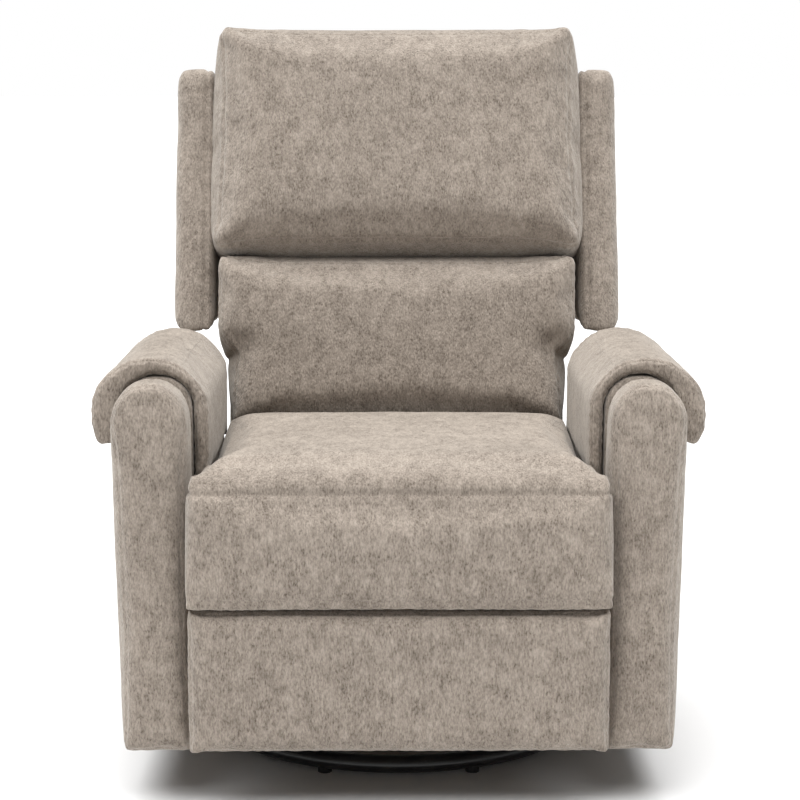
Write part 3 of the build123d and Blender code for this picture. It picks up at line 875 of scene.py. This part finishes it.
@dataclass
class Back:
    """The reclining back: two cushions, two wings and the outer shell."""

    shop: Workroom
    wing_seam: float = 307.0

    @staticmethod
    def shape_head(points: np.ndarray) -> np.ndarray:
        """Narrow the head cushion towards its top and draw its corners out.

        Args:
            points: The form, in metres.

        Returns:
            The shaped cushion.
        """
        shaped = points.copy()
        low, high = points[:, 2].min(), points[:, 2].max()
        rise = (points[:, 2] - low) / (high - low)
        shaped[:, 0] *= 1.008 - 0.030 * rise ** 1.5
        edge = np.abs(points[:, 0]) / 0.288
        front = points[:, 1] < points[:, 1].min() + 30 * MM
        corner = np.clip((edge - 0.88) / 0.12, 0, 1) * np.clip((rise - 0.90) / 0.10, 0, 1)
        shaped[:, 2] += 5 * MM * corner * front
        return shaped

    @staticmethod
    def shape_lumbar(points: np.ndarray) -> np.ndarray:
        """Spread the lumbar cushion above the arms.

        Args:
            points: The form, in metres.

        Returns:
            The spread cushion.
        """
        shaped = points.copy()
        shaped[:, 0] *= 1 + 0.04 * np.clip((points[:, 2] - 0.548) / 0.02, 0, 1)
        return shaped

    def build(self) -> None:
        """Make the cushions, the wings and the shell."""
        low, high = self.upright_box("head_cushion")
        boxing = lambda p, n: n[:, 1] > -0.88
        head = Pad(
            "head_cushion", "back", voxel=6.0, inset=(1.0, 9.0, 1.0), pressure=4.5, cap=20.0,
            leans=True, fill=0.8, wrinkle=1.6, grain=7.0, seed=41.0,
            seams=(Seam(Axis.Y, low[1] + 26, 3.4, 4.0, boxing, 2.0),),
            held=lambda p: p[:, 1] > (high[1] - 18) * MM, sculpt=self.shape_head,
            fills=(302.0, 696.0, 1078.0), reach=((14.0, 14.0), (10.0, 0.0), (6.0, 16.0)))
        self.shop.make(head, "head_cushion_cover")
        low, high = self.upright_box("lumbar_cushion")
        lumbar = Pad(
            "lumbar_cushion", "back", voxel=6.0, inset=(0.5, 9.0, 1.0), pressure=4.5, cap=18.0,
            leans=True, fill=0.7, wrinkle=1.8, grain=7.0, seed=47.0,
            seams=(Seam(Axis.Y, low[1] + 26, 3.0, 4.0, boxing, 2.0),),
            held=lambda p: p[:, 1] > (high[1] - 18) * MM, sculpt=self.shape_lumbar,
            fills=(None, None, 702.0), reach=((3.0, 3.0), (8.0, 0.0), (0.0, 8.0)))
        self.shop.make(lumbar, "lumbar_cushion_cover")
        for side in Side:
            inner_seam = side.value * self.wing_seam
            facing = lambda p, n: (n[:, 1] < 0.3) | (n[:, 2] > 0.5)
            wing = Pad(
                f"back_wing_{side.word}", "back", voxel=6.0, inset=(3.0, 3.0, 3.0), pressure=3.0,
                cap=9.0, leans=True, fill=0.7, wrinkle=1.6, grain=8.0, seed=53.0 + side.value,
                seams=(Seam(Axis.X, inner_seam, 2.6, 3.5, facing, 1.2),),
                held=lambda p: p[:, 1] > p[:, 1].max() - 0.012,
                reach=((2.0, 2.0), (3.0, 0.0), (2.0, 3.0)))
            self.shop.make(wing, f"back_wing_cover_{side.word}")
        shell = Pad(
            "back_shell", "back", voxel=7.0, inset=(0.5, 0.5, 0.5), pressure=0.0, leans=True,
            fill=0.4, wrinkle=1.8, grain=6.0, seed=61.0, subdivide=False,
            reach=((1.0, 1.0), (1.0, 2.0), (1.0, 1.0)))
        self.shop.make(shell, "back_shell_cover")

    def upright_box(self, node: str) -> tuple[np.ndarray, np.ndarray]:
        """A leaning node's box in the upright frame.

        Args:
            node: The node's name.

        Returns:
            Its lowest and highest corners, in millimetres.
        """
        points = self.shop.read(frame["nodes"][node])
        turned = np.array([self.shop.upright @ Vector(p) for p in points])
        return turned.min(axis=0) / MM, turned.max(axis=0) / MM


@dataclass
class Footrest:
    """The footrest's padded panel."""

    shop: Workroom

    def build(self) -> None:
        """Make the panel's cover."""
        rim = lambda p, n: n[:, 1] > -0.9
        pad = Pad(
            "footrest_pad", "footrest", voxel=5.0, inset=(1.0, 3.0, 1.0), pressure=3.5, cap=8.0,
            fill=0.6, wrinkle=1.3, grain=8.0, seed=71.0,
            seams=(Seam(Axis.Y, -424.0, 1.8, 3.0, rim, 1.2),),
            held=lambda p: p[:, 1] > -0.409, fills=(None, 81.0, 281.8),
            reach=((1.0, 1.0), (2.0, 0.0), (1.0, 1.0)))
        self.shop.make(pad, "footrest_cover")


@dataclass
class Mechanism:
    """Every hard part that keeps its own shape and only takes a finish."""

    rack: FinishRack
    soft_slots: tuple[str, ...] = field(default=("chenille",))

    def build(self) -> None:
        """Dress the hard nodes."""
        for part in frame["record"]["subparts"]:
            if part["material_slot"] not in self.soft_slots:
                self.rack.dress_node(part["node"])
                LOG.info("%s dressed", part["node"])


@dataclass
class Studio:
    """The pale floor, the soft lights and the camera."""

    lens: float = 92.7
    eye: tuple[float, float, float] = (-0.0184, -3.1316, 0.9859)
    pitch: float = 8.73
    yaw: float = 0.41
    floor_size: float = 300.0
    air: float = 0.16

    def build_floor(self) -> None:
        """Lay a pale floor that runs on far enough for its edge to melt into the white air."""
        bpy.ops.object.select_all(action="DESELECT")
        bpy.ops.mesh.primitive_plane_add(size=self.floor_size)
        floor = bpy.context.object
        floor.name = "studio_floor"
        material, bench, shader, coords = start_material("studio white")
        tint = bench.noise(coords.outputs["Object"], 0.6, 2.0)
        bench.wire(bench.blend(tint, (0.70, 0.70, 0.70, 1), (0.73, 0.73, 0.73, 1)),
                   shader.inputs["Base Color"])
        shader.inputs["Roughness"].default_value = 0.9
        floor.data.materials.append(material)

    def add_sun(self, name: str, origin: tuple[float, float, float], spread: float,
                strength: float) -> None:
        """Hang a wide soft sun.

        Args:
            name: The light's name.
            origin: The direction it shines from.
            spread: Its angular width in degrees.
            strength: Its strength in watts per square metre.
        """
        data = bpy.data.lights.new(name, "SUN")
        data.energy = strength
        data.angle = math.radians(spread)
        light = bpy.data.objects.new(name, data)
        light.location = origin
        light.rotation_euler = (-Vector(origin)).to_track_quat("-Z", "Y").to_euler()
        bpy.context.scene.collection.objects.link(light)

    def build_air(self) -> bpy.types.World:
        """Make the surroundings: plain white to look at, and dim as a light.

        Returns:
            The world.
        """
        world = bpy.data.worlds.new("studio air")
        world.use_nodes = True
        bench = NodeBench(world.node_tree)
        sky = world.node_tree.nodes["Background"]
        sky.inputs[0].default_value = (1, 1, 1, 1)
        seen = bench.add("ShaderNodeLightPath").outputs["Is Camera Ray"]
        bench.wire(bench.spread(seen, 0.0, 1.0, self.air, 1.0), sky.inputs[1])
        return world

    def build(self) -> None:
        """Make the floor, the lights, the surroundings and the camera."""
        self.build_floor()
        self.add_sun("overhead", (-0.25, -0.30, 3.0), 75, 6.4)
        self.add_sun("front", (-0.3, -3.0, 1.3), 70, 0.2)
        self.add_sun("behind", (0.5, 3.0, 1.6), 70, 0.35)
        scene = bpy.context.scene
        scene.world = self.build_air()
        scene.view_settings.view_transform = "Standard"
        lens = bpy.data.cameras.new("camera")
        lens.lens = self.lens
        lens.sensor_width = 36
        camera = bpy.data.objects.new("camera", lens)
        camera.location = self.eye
        camera.rotation_euler = (math.radians(90 - self.pitch), 0, math.radians(-self.yaw))
        scene.collection.objects.link(camera)
        scene.camera = camera


def main() -> None:
    """Build the chair round its frame, piece by piece."""
    logging.basicConfig(level=logging.INFO)
    rack = FinishRack()
    shop = Workroom(rack)
    Studio().build()
    Mechanism(rack).build()
    for assembly in (SeatUnit(shop), Arms(shop), Back(shop), Footrest(shop)):
        assembly.build()


if __name__ == "__main__":
    main()
